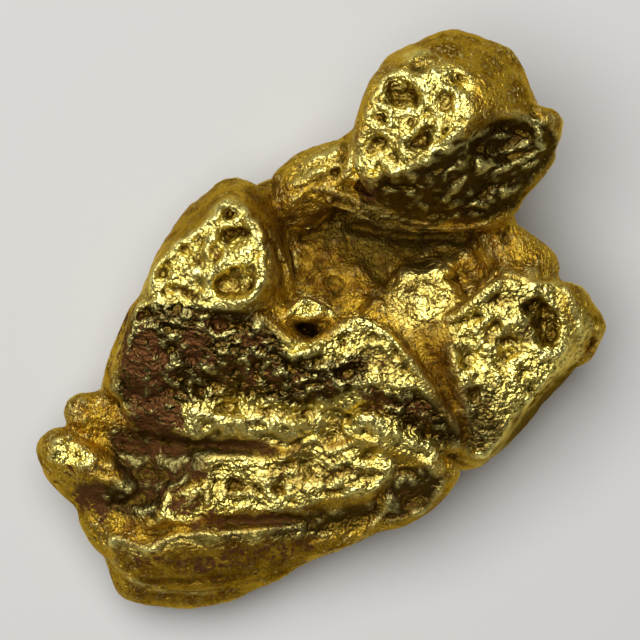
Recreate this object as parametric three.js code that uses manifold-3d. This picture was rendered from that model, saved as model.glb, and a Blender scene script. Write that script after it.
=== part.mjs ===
// A native gold nugget: one solid lump of metal that lies on its broad, worn side.
// Millimetres, +Z up. The origin is under the middle of the lump, on the surface that it rests on.
import * as THREE from "three";
import { ConvexGeometry } from "three/addons/geometries/ConvexGeometry.js";
import { mergeVertices } from "three/addons/utils/BufferGeometryUtils.js";
import Module from "manifold-3d";

const wasm = await Module();
wasm.setup();

// Driving dimensions: how high each part of the lump stands over the resting face.
const headTop = 8.3;
const peakTop = 6.4;
const slabTop = 5.8;
const bandTop = 4.6;
const wingTop = 5.2;
const saddleTop = 3.1;
const terraceTop = 4.3;
const rollTop = 3.6;
const bodyTop = 3.0; // the mass that all the parts grow out of
const sideLevel = 2.6; // where the outline is widest
const bellyLevel = 1.4; // the round of the underside
const ballDetail = 1; // subdivisions of each rounding ball
const sawDepth = 4; // how much is taken off under the resting face

const gold = new THREE.MeshStandardMaterial({ color: 0xd9a62e, metalness: 1, roughness: 0.34 });

// Each lump is a skin stretched tight over balls, given as [x, y, height of the ball's top, radius].
const lumps = {
  belly: [
    [-4.6, -0.4, bellyLevel + 1.4, 0.9], [-4.9, -2.3, bellyLevel + 1.1, 0.8],
    [-5.2, -6.2, bellyLevel + 0.9, 0.7], [-2.4, -6.6, bellyLevel + 0.8, 0.8],
    [1.4, -5.2, bellyLevel + 1.0, 0.7], [4.1, -3.3, bellyLevel + 1.0, 0.7],
    [6.2, -0.2, bellyLevel + 1.2, 0.7], [4.7, 3.3, bellyLevel + 1.9, 0.8],
    [0.6, 3.8, bellyLevel + 1.6, 0.9], [-2.6, 2.8, bellyLevel + 1.6, 0.9], [-3.4, 0.2, 0.95, 0.5],
    [-2.8, -4.9, 0.95, 0.5], [1.8, -3.4, 0.95, 0.5], [3.4, 1.0, 0.95, 0.5], [-0.6, 1.7, 0.95, 0.5],
  ],
  body: [
    [-4.75, -0.6, bodyTop, 0.78], [-5.2, -2.6, bodyTop - 0.2, 0.8], [-5.4, -5.0, bodyTop - 0.9, 0.7],
    [-4.6, -6.4, bodyTop - 1.0, 0.8], [-1.2, -5.9, bodyTop - 0.5, 0.7],
    [1.7, -4.9, bodyTop - 0.3, 0.8], [3.9, -3.3, bodyTop - 0.2, 0.7],
    [6.3, -0.8, bodyTop - 0.2, 0.8], [6.6, 0.4, bodyTop - 0.2, 0.7], [4.9, 2.6, bodyTop, 0.7],
    [1.2, 4.1, bodyTop, 0.8], [-2.4, 2.9, bodyTop, 0.8], [-4.1, 1.2, bodyTop, 0.8],
  ],
  rightFlank: [
    [7.1, 0.0, 3.6, 0.6], [6.0, 1.3, 4.3, 0.65], [5.0, 2.5, 4.4, 0.6], [4.5, 2.2, 2.0, 0.7],
    [4.3, -2.2, 2.2, 0.8], [6.0, -1.5, 3.4, 0.7],
  ],
  leftFlank: [
    [-4.5, 0.6, 4.3, 0.62], [-3.2, 2.5, 4.4, 0.6], [-2.4, 3.1, 4.2, 0.6], [-0.9, 2.6, 3.6, 0.6],
    [-2.6, 1.7, 1.6, 0.6], [-4.0, -0.2, 1.6, 0.6],
  ],
  neck: [
    [-1.1, 3.2, 3.9, 0.5], [-0.1, 4.1, 4.1, 0.6], [1.1, 4.4, 4.3, 0.6], [2.0, 5.2, 4.8, 0.8],
    [0.8, 3.0, 1.7, 0.6], [2.5, 3.0, 2.0, 0.6],
  ],
  lowFlank: [
    [-6.8, -4.3, 2.9, 0.6], [-6.2, -2.7, 3.2, 0.4], [-5.9, -6.0, 2.6, 0.7], [-4.2, -7.1, 2.4, 0.7],
    [-3.9, -3.0, 1.5, 0.6], [-2.4, -5.6, 1.4, 0.6], [-5.1, -2.0, 3.0, 0.8],
  ],
  slope: [
    [-4.9, 0.2, slabTop - 0.3, 0.4], [-3.5, 0.2, slabTop, 0.25], [-2.0, 0.15, slabTop, 0.25],
    [-1.1, -0.6, slabTop - 0.2, 0.25], [0.2, -1.2, slabTop - 0.3, 0.25],
    [0.9, -2.0, slabTop - 0.7, 0.25], [0.5, -2.4, bandTop, 0.25], [-0.5, -2.6, bandTop, 0.25],
    [-2.5, -2.5, bandTop, 0.25], [-4.6, -2.3, bandTop, 0.3], [-5.7, -1.9, bandTop - 0.1, 0.3],
    [-5.4, -0.9, slabTop - 0.8, 0.35], [-4.6, -0.6, sideLevel, 0.7], [-0.4, -1.2, sideLevel, 0.7],
    [-4.6, -1.8, sideLevel, 0.7],
  ],
  plateau: [
    [-0.1, -0.7, slabTop - 0.3, 0.2], [0.6, -0.15, slabTop - 0.2, 0.2],
    [1.0, -0.05, slabTop - 0.1, 0.2], [1.95, -0.5, slabTop - 0.1, 0.2],
    [2.6, -1.2, slabTop - 0.3, 0.2], [3.0, -1.8, slabTop - 0.5, 0.2],
    [1.2, -1.95, slabTop - 0.5, 0.25], [0.3, -1.5, slabTop - 0.4, 0.25],
    [3.6, -2.75, bandTop + 0.1, 0.2], [3.85, -3.55, bandTop - 0.5, 0.25],
    [2.4, -3.25, bandTop - 0.2, 0.3], [0.9, -2.7, bandTop + 0.1, 0.3], [1.4, -0.9, sideLevel, 0.8],
    [3.0, -3.0, sideLevel, 0.7],
  ],
  band: [
    [-5.4, -2.5, bandTop - 0.2, 0.3], [-4.4, -2.4, bandTop, 0.25],
    [-2.5, -2.6, bandTop + 0.1, 0.25], [-0.5, -2.7, bandTop + 0.1, 0.25],
    [0.5, -2.6, bandTop, 0.25], [0.6, -3.1, bandTop - 0.2, 0.25], [-1.0, -3.25, bandTop - 0.2, 0.2],
    [-3.4, -3.25, bandTop - 0.3, 0.2], [-5.2, -2.95, bandTop - 0.6, 0.25],
    [-4.6, -2.7, sideLevel, 0.7], [0.4, -2.7, sideLevel, 0.7],
  ],
  slabSide: [
    [-5.85, -1.75, 4.1, 0.42], [-5.02, -0.45, 4.6, 0.36], [-5.9, -2.1, 3.4, 0.4],
    [-5.0, 0.2, 4.6, 0.5], [-5.2, -1.3, 2.6, 0.7],
  ],
  valley: [
    [1.6, 0.3, 4.5, 0.4], [3.6, -0.35, 4.72, 0.4], [4.3, -2.3, 4.5, 0.3], [4.3, -3.7, 3.8, 0.35],
    [2.6, -2.0, 3.0, 0.6], [4.6, -1.0, 3.4, 0.6],
  ],
  peak: [
    [-2.45, 3.2, peakTop - 0.5, 0.3], [-3.4, 2.35, peakTop - 0.5, 0.25],
    [-4.45, 1.45, peakTop - 0.6, 0.3], [-4.6, 0.5, peakTop - 0.8, 0.3],
    [-2.9, 0.4, peakTop - 0.5, 0.25], [-1.8, 0.65, peakTop - 0.1, 0.25], [-1.65, 1.3, peakTop, 0.2],
    [-1.75, 2.3, peakTop - 0.1, 0.25], [-2.5, 3.35, sideLevel + 2.1, 0.78],
    [-3.3, 2.85, sideLevel + 1.7, 0.62], [-4.05, 1.8, sideLevel + 1.5, 0.6],
    [-4.4, 0.9, sideLevel + 1.5, 0.6], [-4.6, 0.2, sideLevel + 1.4, 0.7],
    [-1.7, 3.2, sideLevel + 1.7, 0.6], [-1.25, 2.0, sideLevel + 1.9, 0.35],
    [-1.1, 0.8, sideLevel + 1.9, 0.35],
  ],
  foldFoot: [
    [-1.75, 0.25, 5.55, 0.3], [-1.3, -0.3, 5.5, 0.25], [-0.85, -0.55, 5.35, 0.2],
    [-1.1, 0.35, 5.2, 0.3], [-1.4, 0.1, 3.8, 0.5],
  ],
  folds: [
    [-1.6, 3.0, 5.0, 0.25], [-1.25, 2.0, 5.0, 0.25], [-0.95, 1.1, 4.9, 0.25],
    [-0.9, 0.6, 4.8, 0.25], [-1.6, 1.0, 5.2, 0.3], [-1.6, 2.2, 3.4, 0.5],
  ],
  saddle: [
    [-1.3, 3.3, saddleTop, 0.5], [0.4, 4.0, saddleTop, 0.6], [4.9, 2.7, saddleTop + 0.3, 0.5],
    [5.2, 1.8, saddleTop + 0.6, 0.5], [4.4, -0.4, saddleTop + 0.9, 0.4],
    [2.6, -0.3, saddleTop + 1.0, 0.4], [0.6, -0.3, saddleTop + 0.9, 0.5],
    [-1.2, 0.4, saddleTop + 0.6, 0.5], [2.0, 2.0, bellyLevel, 0.8],
  ],
  hump: [
    [2.2, 0.5, 4.45, 0.5], [2.7, 1.2, 4.45, 0.5], [3.35, 1.25, 4.6, 0.5], [3.6, 0.5, 4.75, 0.5],
    [3.0, -0.1, 4.7, 0.4], [2.9, 0.6, 4.8, 0.4], [2.9, 0.7, 3.8, 1.2],
  ],
  roof: [
    [-0.8, 0.25, 5.6, 0.2], [-0.45, 0.55, 5.5, 0.15], [0.35, 0.15, 5.2, 0.15],
    [-0.3, 0.3, 4.6, 0.4],
  ],
  shoulder: [
    [-0.95, 3.85, 4.6, 0.5], [-0.35, 4.4, 4.7, 0.5], [0.45, 4.65, 4.9, 0.5], [0.9, 4.5, 5.4, 0.45],
    [0.6, 3.9, 5.2, 0.4], [-0.6, 3.5, 4.9, 0.3], [-0.9, 3.2, 4.5, 0.4], [-0.4, 2.9, 4.3, 0.3],
    [0.0, 3.8, 2.8, 0.8],
  ],
  head: [
    [1.2, 4.3, headTop - 1.0, 0.3], [1.3, 5.2, headTop - 0.7, 0.35],
    [1.75, 6.3, headTop - 0.5, 0.45], [2.5, 6.7, headTop - 0.4, 0.5],
    [3.8, 6.6, headTop - 0.2, 0.5], [4.25, 6.0, headTop - 0.1, 0.35],
    [3.85, 5.35, headTop - 0.1, 0.25], [2.85, 4.5, headTop - 0.3, 0.25],
    [1.9, 4.1, headTop - 0.7, 0.25], [1.6, 5.1, 6.3, 0.62], [2.5, 6.85, 6.7, 0.84],
    [3.7, 7.1, 6.9, 1.1], [4.75, 6.8, 6.9, 1.03], [5.2, 6.3, 7.0, 0.6], [5.2, 5.7, 7.4, 0.3],
    [5.95, 4.65, 5.9, 0.7], [5.4, 3.65, 5.2, 0.45], [4.6, 3.2, 5.3, 0.35], [3.2, 3.1, 5.5, 0.3],
    [2.2, 3.4, 5.8, 0.3], [1.6, 3.8, 6.1, 0.3], [2.2, 5.0, 4.6, 0.9], [4.5, 5.6, 4.4, 1.0],
    [5.1, 4.3, 4.2, 0.8], [3.2, 4.1, 3.6, 0.8],
  ],
  throat: [
    [2.3, 5.9, 4.5, 1.1], [3.5, 6.6, 4.8, 1.1], [4.7, 5.7, 4.5, 1.1], [1.6, 4.3, 3.4, 0.9],
    [5.0, 3.8, 3.6, 0.9], [3.0, 3.4, 2.6, 0.9], [1.9, 5.4, 6.5, 0.8],
  ],
  cheek: [[6.28, 5.5, 6.8, 0.52], [5.4, 5.55, 7.2, 0.4], [6.2, 5.0, 6.1, 0.5], [5.4, 5.2, 5.4, 0.6]],
  wing: [
    [5.0, 0.9, wingTop, 0.25], [6.4, 0.85, wingTop - 0.1, 0.25], [7.0, -0.7, wingTop - 0.5, 0.25],
    [6.1, -1.85, wingTop - 0.6, 0.25], [5.3, -2.8, wingTop - 0.8, 0.25],
    [4.6, -3.7, wingTop - 1.2, 0.25], [4.3, -2.2, wingTop - 0.6, 0.25],
    [3.8, -0.9, wingTop - 0.4, 0.25], [3.7, -0.1, wingTop - 0.3, 0.25],
    [4.35, 0.5, wingTop - 0.1, 0.2], [7.0, -1.1, sideLevel + 0.7, 0.5],
    [6.2, -1.95, sideLevel + 0.5, 0.5], [5.25, -3.1, sideLevel + 0.4, 0.5],
    [4.45, -3.75, sideLevel + 0.4, 0.55], [4.1, -3.9, sideLevel, 0.5], [5.0, 0.4, 1.6, 0.7],
    [4.6, -1.6, 1.4, 0.7],
  ],
  wingTip: [
    [7.7, -0.12, sideLevel + 1.5, 0.53], [7.2, 0.6, wingTop - 0.5, 0.42],
    [6.6, 0.9, wingTop - 0.3, 0.3], [6.8, -0.4, wingTop - 0.5, 0.3], [6.8, 0.2, 2.6, 0.5],
    [7.5, -0.75, sideLevel + 0.8, 0.55],
  ],
  nape: [
    [6.3, 1.55, 4.5, 0.6], [5.6, 1.75, 4.6, 0.6], [5.2, 2.6, 4.6, 0.4], [5.6, 1.0, 4.8, 0.4],
    [5.4, 1.6, 2.6, 0.7],
  ],
  mound: [
    [0.8, -3.0, 4.8, 0.2], [1.2, -2.65, 5.0, 0.2], [1.7, -2.7, 5.0, 0.2], [2.1, -3.2, 4.8, 0.2],
    [3.2, -3.75, 4.5, 0.2], [2.3, -3.8, 4.3, 0.3], [1.4, -3.4, 4.6, 0.4],
  ],
  terrace: [
    [-2.95, -4.25, terraceTop - 0.3, 0.15], [-2.95, -5.25, terraceTop - 0.5, 0.15],
    [-1.5, -5.35, terraceTop - 0.4, 0.15], [0.4, -4.95, terraceTop - 0.3, 0.2],
    [1.5, -4.85, terraceTop - 0.3, 0.2], [1.95, -4.2, terraceTop, 0.2],
    [1.35, -3.6, terraceTop + 0.1, 0.15], [-0.2, -3.65, terraceTop, 0.15],
    [-3.3, -4.1, terraceTop - 0.3, 0.25], [-3.5, -3.2, 4.0, 0.3], [1.5, -3.2, 4.3, 0.3],
    [0.0, -5.3, 1.6, 0.6], [-3.0, -5.4, 1.6, 0.6],
  ],
  apron: [
    [-4.5, -5.5, 3.7, 0.3], [-3.4, -4.9, 4.0, 0.2], [-3.3, -5.8, 3.6, 0.25], [-0.4, -5.6, 3.6, 0.3],
    [1.4, -5.2, 3.6, 0.3], [-4.2, -4.9, 3.9, 0.2], [-2.0, -6.0, 2.6, 0.6],
  ],
  corner: [
    [2.1, -5.5, 3.3, 0.6], [2.8, -5.1, 3.2, 0.6], [3.2, -4.85, 3.4, 0.55], [3.75, -4.3, 3.9, 0.35],
    [3.0, -4.1, 4.3, 0.3], [2.3, -4.4, 4.1, 0.3], [2.4, -4.6, 1.8, 0.6],
  ],
  roll: [
    [-5.5, -6.75, 3.1, 0.65], [-4.6, -7.0, 3.0, 0.8], [-3.6, -7.0, 3.1, 0.85],
    [-2.4, -6.8, 3.0, 0.85], [-0.9, -6.25, rollTop - 0.6, 0.75], [0.7, -5.8, rollTop - 0.5, 0.75],
    [1.45, -5.5, rollTop - 0.3, 0.7], [-5.85, -6.3, rollTop - 0.2, 0.25],
    [-4.9, -6.5, rollTop, 0.25], [-3.4, -6.25, rollTop + 0.1, 0.25], [-1.5, -6.1, rollTop, 0.25],
  ],
  finger: [
    [-7.55, -3.6, 3.7, 0.55], [-6.5, -4.05, 3.9, 0.45], [-5.45, -4.75, 3.7, 0.3],
    [-6.75, -4.9, 3.0, 0.62], [-5.7, -5.1, 3.1, 0.5], [-7.32, -4.35, 2.8, 0.7],
    [-7.7, -3.75, 3.1, 0.5],
  ],
  nub: [
    [-6.85, -2.62, 3.6, 0.55], [-6.3, -2.6, 3.5, 0.5], [-5.6, -3.2, 3.3, 0.5],
    [-6.7, -3.2, 3.1, 0.4], [-5.5, -2.4, 3.0, 0.5],
  ],
  pocket: [
    [-6.42, -5.7, 2.9, 0.65], [-5.98, -6.35, 2.8, 0.64], [-5.2, -5.8, 3.4, 0.3],
    [-3.9, -5.5, 3.7, 0.4], [-3.5, -4.2, 3.9, 0.4], [-6.0, -3.4, 3.2, 0.5], [-4.0, -3.2, 3.6, 0.4],
    [-6.6, -4.4, 2.9, 0.5], [-3.4, -6.2, 3.2, 0.4],
  ],
};

// Long low rims are strings of balls, joined two at a time.
const rims = {
  collar: [
    [0.45, 3.5, 5.2, 0.3], [1.4, 3.2, 5.3, 0.33], [2.4, 2.85, 5.1, 0.33], [3.6, 2.8, 5.1, 0.33],
    [4.8, 2.85, 5.0, 0.33], [5.5, 3.3, 5.0, 0.3],
  ],
  outerSkin: [
    [-5.72, -6.95, 2.4, 0.56], [-5.42, -7.6, 2.2, 0.62], [-4.7, -7.82, 2.1, 0.58],
    [-3.8, -7.86, 2.1, 0.58], [-2.7, -7.62, 2.2, 0.57], [-1.6, -7.14, 2.3, 0.6],
    [-0.4, -6.42, 2.4, 0.58], [0.9, -6.0, 2.6, 0.55],
  ],
};

// Hollows worn into the lump, made in the same way as the lumps and taken away.
const hollows = {
  headSide: [
    [4.62, 4.95, headTop - 0.25, 0.5], [5.13, 5.18, headTop - 0.45, 0.5], [5.66, 5.02, 7.3, 0.42],
    [5.4, 4.55, 7.1, 0.45],
  ],
  headPit: [[2.65, 6.98, headTop - 0.2, 0.27]],
  headScar: [
    [2.5, 4.8, headTop - 0.08, 0.2], [2.95, 5.25, headTop - 0.1, 0.18],
    [2.85, 4.95, headTop - 0.05, 0.25],
  ],
  peakPit: [
    [-2.75, 1.0, peakTop + 0.15, 0.38], [-2.12, 1.12, peakTop + 0.24, 0.32],
    [-2.3, 1.4, peakTop + 0.18, 0.28],
  ],
  wingPit: [
    [6.14, 0.3, wingTop + 0.2, 0.35], [6.49, -0.1, wingTop + 0.18, 0.4],
    [6.55, -0.5, wingTop - 0.02, 0.32],
  ],
  tipSlot: [[7.66, -0.42, 4.2, 0.13], [7.83, -0.82, 3.6, 0.13]],
};

function solidOf(geometry) {
  const bare = geometry.clone();
  bare.deleteAttribute("normal");
  bare.deleteAttribute("uv");
  const merged = mergeVertices(bare);
  return new wasm.Manifold(
    new wasm.Mesh({
      numProp: 3,
      vertProperties: merged.attributes.position.array,
      triVerts: new Uint32Array(merged.index.array),
    }),
  );
}

// The points of one rounding ball, turned by its own place so that no two balls line up.
function ballPoints([x, y, top, radius]) {
  const ball = new THREE.IcosahedronGeometry(radius, ballDetail);
  ball.rotateX(x).rotateY(y).rotateZ(top).translate(x, y, top - radius);
  const place = ball.getAttribute("position");
  return [...Array(place.count).keys()].map((i) => new THREE.Vector3().fromBufferAttribute(place, i));
}

const lumpOf = (balls) => solidOf(new ConvexGeometry(balls.flatMap(ballPoints)));

function rimOf(balls) {
  const links = balls.slice(1).map((ball, i) => lumpOf([balls[i], ball]));
  return links.reduce((rim, link) => rim.add(link));
}

function nuggetSolid() {
  const pieces = [...Object.values(lumps).map(lumpOf), ...Object.values(rims).map(rimOf)];
  const whole = pieces.reduce((lump, piece) => lump.add(piece));
  const below = new THREE.BoxGeometry(40, 40, sawDepth).translate(0, 0, -sawDepth / 2);
  const cuts = [solidOf(below), ...Object.values(hollows).map(lumpOf)];
  const shells = cuts.reduce((lump, cut) => lump.subtract(cut), whole).decompose();
  return shells.reduce((outer, shell) => (shell.volume() > outer.volume() ? shell : outer));
}

// Puts the middle of the lump's box over the origin and leaves its height alone.
function centred(solid) {
  const { min, max } = solid.boundingBox();
  return solid.translate([-(min[0] + max[0]) / 2, -(min[1] + max[1]) / 2, 0]);
}

function geometryOf(solid) {
  const { numProp, numVert, vertProperties, triVerts } = solid.getMesh();
  const places = new Float32Array(numVert * 3);
  for (let i = 0; i < numVert; i++) {
    places.set(vertProperties.subarray(i * numProp, i * numProp + 3), i * 3);
  }
  return new THREE.BufferGeometry()
    .setAttribute("position", new THREE.BufferAttribute(places, 3))
    .setIndex(new THREE.BufferAttribute(triVerts, 1));
}

const nugget = new THREE.Mesh(geometryOf(centred(nuggetSolid())), gold);
nugget.name = "nugget";

const part = new THREE.Group();
part.add(nugget);
export default part;
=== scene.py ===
import math

import bpy
import numpy as np
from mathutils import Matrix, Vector, noise


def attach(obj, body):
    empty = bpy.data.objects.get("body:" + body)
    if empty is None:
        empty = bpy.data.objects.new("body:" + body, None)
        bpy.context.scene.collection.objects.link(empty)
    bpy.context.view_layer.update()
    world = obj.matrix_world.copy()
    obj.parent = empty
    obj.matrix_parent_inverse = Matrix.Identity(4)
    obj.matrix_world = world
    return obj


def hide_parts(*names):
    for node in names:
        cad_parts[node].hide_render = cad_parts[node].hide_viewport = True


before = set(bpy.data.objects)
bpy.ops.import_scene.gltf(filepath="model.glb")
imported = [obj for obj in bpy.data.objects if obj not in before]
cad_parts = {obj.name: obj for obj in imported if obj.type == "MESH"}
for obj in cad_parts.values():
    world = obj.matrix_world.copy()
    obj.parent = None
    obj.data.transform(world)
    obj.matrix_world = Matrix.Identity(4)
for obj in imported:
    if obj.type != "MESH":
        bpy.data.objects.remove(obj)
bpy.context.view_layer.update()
print("frame loaded")


def pickOnly(thing):
    bpy.ops.object.select_all(action="DESELECT")
    thing.select_set(True)
    bpy.context.view_layer.objects.active = thing


def applyModifier(thing, name, kind, **settings):
    modifier = thing.modifiers.new(name, kind)
    for key, value in settings.items():
        setattr(modifier, key, value)
    pickOnly(thing)
    bpy.ops.object.modifier_apply(modifier=name)


def resizeAll(thing, factor):
    pickOnly(thing)
    bpy.ops.object.mode_set(mode="EDIT")
    bpy.ops.mesh.select_all(action="SELECT")
    bpy.ops.transform.resize(value=(factor,) * 3, center_override=(0, 0, 0))
    bpy.ops.object.mode_set(mode="OBJECT")


# the lump is worked a thousand times over size, so that one unit on the bench is a millimetre
block = {
    "weld": 0.000001,  # metres; everything after the bench is in millimetres
    "bench": 1000.0,
    "seed": 11,
    "grain": 0.089,
    "rounding": 4,
    "eyePlace": (0.0, 0.143),  # marks are placed as an eye over this place sees them
    "eyeHeight": 101.6,  # how far the eye is above planHeight
    "planHeight": 4.0,
    "markedSlope": (0.05, 0.4),  # marks fade in as a face turns upwards between these
    "maskedSlope": (-0.1, 0.2),  # and so do the masks
    "slowScale": 0.6,  # three sizes of unevenness, and a last, finest one
    "middlingScale": 1.5,
    "quickScale": 3.6,
    "chatterScale": 7.0,
    "waver": 0.09,  # how far a mark strays from a straight line
    "lineTip": (0.18, 0.2),  # the share of a line that thins out at each end, and the height left there
    "rimPlace": (1.08, 0.22),  # where a dent's rim runs and how wide it is, where the dent ends at 1
    "softenRounds": 18,
    "shadedHold": 0.8,  # how much of their shape the shaded faces keep as the lump is softened
    "swell": 0.035,  # given back where softening shrinks the lump
    "wornSoft": 0.12,  # how softly each kind of face ends
    "fadingSoft": 0.4,
    "shadedSoft": 0.2,
    "fadingWear": 0.8,  # how worn a fading face is, and the flanks that marks don't reach
    "flankWear": 0.6,
    "flankPatches": (-0.1, 0.4),
    # the share of the painted shade that the half shaded hollows get
    "dimShade": 0.55,
    "pits": [
        # how many, least and most size, rim
        (220, 0.3, 0.55, 0.03),
        (700, 0.1, 0.26, 0.012),
    ],
    "pitField": ((-6, -6), (7.5, 7.5)),  # two corners of the place where pits fall
    "pitShape": (0.35, 0.8),  # how narrow a pit is, and how deep, least and most for its size
    "pitDepth": (0.15, 0.5),
    "bend": 0.1,  # slow bends of every face
    "dimple": 0.09,
    "ripple": 0.06,
    "chatter": 0.025,
    "proudRounds": 14,  # how wide the even surface is that hollows and edges are measured from
    "hollowDepth": (0.0, 0.07),  # how deep a place lies under it, from no hollow to a full one, for the painted shade in the hollows
    "cutDepth": (0.05, 0.22),
    "edgeHeight": (0.01, 0.06),
    "ridgeHeight": (0.03, 0.12),
}

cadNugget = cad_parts["nugget"]
lump = cadNugget.copy()
lump.data = cadNugget.data.copy()
lump.name = lump.data.name = "goldNugget"
lump.parent = None
for key in list(lump.keys()):
    del lump[key]  # the copy is a plain mesh of its own
bpy.context.scene.collection.objects.link(lump)
lump.data.materials.clear()
pickOnly(lump)
bpy.ops.object.mode_set(mode="EDIT")
bpy.ops.mesh.select_all(action="SELECT")
bpy.ops.mesh.remove_doubles(threshold=block["weld"])
bpy.ops.object.mode_set(mode="OBJECT")
resizeAll(lump, block["bench"])
applyModifier(lump, "grain", "REMESH", mode="VOXEL", voxel_size=block["grain"])
applyModifier(lump, "rounding", "SMOOTH", factor=0.5, iterations=block["rounding"])
print("block ready:", len(lump.data.vertices), "points")


def smoothStep(low, high, value):
    t = np.clip((value - low) / (high - low), 0, 1)
    return t * t * (3 - 2 * t)


def readVectors(thing, what):
    values = np.empty(len(thing.data.vertices) * 3, np.float32)
    thing.data.vertices.foreach_get(what, values)
    return values.reshape(-1, 3).astype(float)


def writePoints(thing, places):
    thing.data.vertices.foreach_set("co", places.astype(np.float32).ravel())
    thing.data.update()


noise.seed_set(block["seed"])


def noiseVectors(places, scale):
    return np.array([noise.noise_vector(Vector(p) * scale) for p in places])


def evenOut(thing, values, rounds):
    # each round moves every point's value half way to the mean of its neighbours
    ends = np.empty(len(thing.data.edges) * 2, np.int32)
    thing.data.edges.foreach_get("vertices", ends)
    start, end = ends.reshape(-1, 2).T
    start, end = np.concatenate([start, end]), np.concatenate([end, start])
    count = len(values)
    links = np.bincount(start, minlength=count)
    columns = values.reshape(count, -1).T
    for _ in range(rounds):
        columns = [(column + np.bincount(start, column[end], count) / links) / 2 for column in columns]
    return np.stack(columns, 1).reshape(values.shape)


def planOf(places):
    spread = block["eyeHeight"] / (block["eyeHeight"] - (places[:, 2] - block["planHeight"]))
    return (places[:, :2] - block["eyePlace"]) * spread[:, None]


def lineDistance(plan, points):
    # distance from a drawn line and how far along it
    best = np.full(len(plan), 1e9)
    along = np.zeros(len(plan))
    corners = np.array(points, float)
    lengths = np.linalg.norm(np.diff(corners, axis=0), axis=1)
    total, done = lengths.sum(), 0.0
    for start, end, length in zip(corners[:-1], corners[1:], lengths):
        way = (end - start) / length
        reach = np.clip((plan - start) @ way, 0, length)
        distance = np.linalg.norm(plan - start - reach[:, None] * way, axis=1)
        nearer = distance < best
        best[nearer] = distance[nearer]
        along[nearer] = ((done + reach) / total)[nearer]
        done += length
    return best, along


class Sculptor:
    def __init__(self, thing):
        self.thing = thing
        self.places = readVectors(thing, "co")
        self.normals = readVectors(thing, "normal")
        self.lift = smoothStep(*block["markedSlope"], self.normals[:, 2])
        self.shown = smoothStep(*block["maskedSlope"], self.normals[:, 2])
        self.slow = noiseVectors(self.places, block["slowScale"])
        self.middling = noiseVectors(self.places, block["middlingScale"])
        self.quick = noiseVectors(self.places, block["quickScale"])
        waver = self.middling[:, 1:] + 0.6 * self.quick[:, 1:]
        self.plan = planOf(self.places) + block["waver"] * waver
        self.rise = np.zeros(len(self.places))
        self.out = np.zeros(len(self.places))

    def soften(self, amount):
        # rounds off the block where amount is high
        evened = evenOut(self.thing, self.places, block["softenRounds"])
        self.places += (evened - self.places) * amount[:, None]
        self.places += self.normals * (block["swell"] * amount)[:, None]
        writePoints(self.thing, self.places)
        self.normals = readVectors(self.thing, "normal")
        self.lift = smoothStep(*block["markedSlope"], self.normals[:, 2])

    def near(self, points, reach):
        low, high = np.min(points, axis=0) - reach, np.max(points, axis=0) + reach
        return np.flatnonzero(np.all((self.plan > low) & (self.plan < high), axis=1))

    def line(self, width, height, points):
        # a raised line, or a cut where height is negative, thinning out at both ends
        chosen = self.near(points, width * 3)
        distance, along = lineDistance(self.plan[chosen], points)
        share, left = block["lineTip"]
        ends = smoothStep(0, share, along) * smoothStep(0, share, 1 - along) * (1 - left) + left
        ends *= np.clip(1 + 0.7 * self.middling[chosen, 0] + 0.9 * self.quick[chosen, 1], 0.2, 2)
        self.rise[chosen] += height * ends * np.exp(-((distance / width) ** 2))

    def oval(self, x, y, wide, tall, turn, reach=1.0):
        # the points around a place, and how far out each one is, where a turned oval's border is 1
        chosen = self.near([(x, y)], max(wide, tall) * reach)
        angle = math.radians(turn)
        across = self.plan[chosen] - (x, y)
        u = (across[:, 0] * math.cos(angle) + across[:, 1] * math.sin(angle)) / wide
        v = (-across[:, 0] * math.sin(angle) + across[:, 1] * math.cos(angle)) / tall
        uneven = 1 + 0.5 * self.quick[chosen, 2] + 0.4 * self.middling[chosen, 0]
        return chosen, np.hypot(u, v) * uneven

    def dent(self, x, y, wide, tall, turn, depth, rim=0.0):
        # an oval hollow, or a swelling where depth is negative, with a raised rim if rim is given
        chosen, q = self.oval(x, y, wide, tall, turn, reach=1.6)
        bowl = np.where(q < 1, (1 - q * q) ** 2, 0)
        place, width = block["rimPlace"]
        self.rise[chosen] += rim * np.exp(-(((q - place) / width) ** 2)) - depth * bowl

    def carve(self, marks):
        for kind, *rest in marks:
            getattr(self, kind)(*rest)

    def area(self, soft, points):
        # 1 inside a drawn outline, 0 outside, fading over soft on each side of it
        closed = points + points[:1]
        distance, _ = lineDistance(self.plan, closed)
        x, y = self.plan.T
        inside = np.zeros(len(self.plan), bool)
        for (x0, y0), (x1, y1) in zip(points, closed[1:]):
            if y0 != y1:
                inside ^= ((y0 > y) != (y1 > y)) & (x < x0 + (y - y0) * (x1 - x0) / (y1 - y0))
        return smoothStep(-soft, soft, np.where(inside, distance, -distance)) * self.shown

    def faces(self, outlines, soft):
        # the same for several outlines at once
        return np.max([self.area(soft, outline) for outline in outlines.values()], axis=0)

    def spots(self, places):
        # the strongest of several soft ovals
        level = np.zeros(len(self.plan))
        for x, y, wide, tall, turn, strength in places:
            chosen, q = self.oval(x, y, wide, tall, turn)
            level[chosen] = np.maximum(level[chosen], strength * smoothStep(1.0, 0.45, q))
        return level * self.shown

    def finish(self):
        self.places += self.normals * self.out[:, None]
        self.places[:, 2] += evenOut(self.thing, self.rise, 1) * self.lift
        self.places[:, 2] = np.maximum(self.places[:, 2], 0)
        writePoints(self.thing, self.places)

    def keep(self, name, values):
        layer = self.thing.data.attributes.new(name, "FLOAT", "POINT")
        layer.data.foreach_set("value", values.astype(np.float32))


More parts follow.
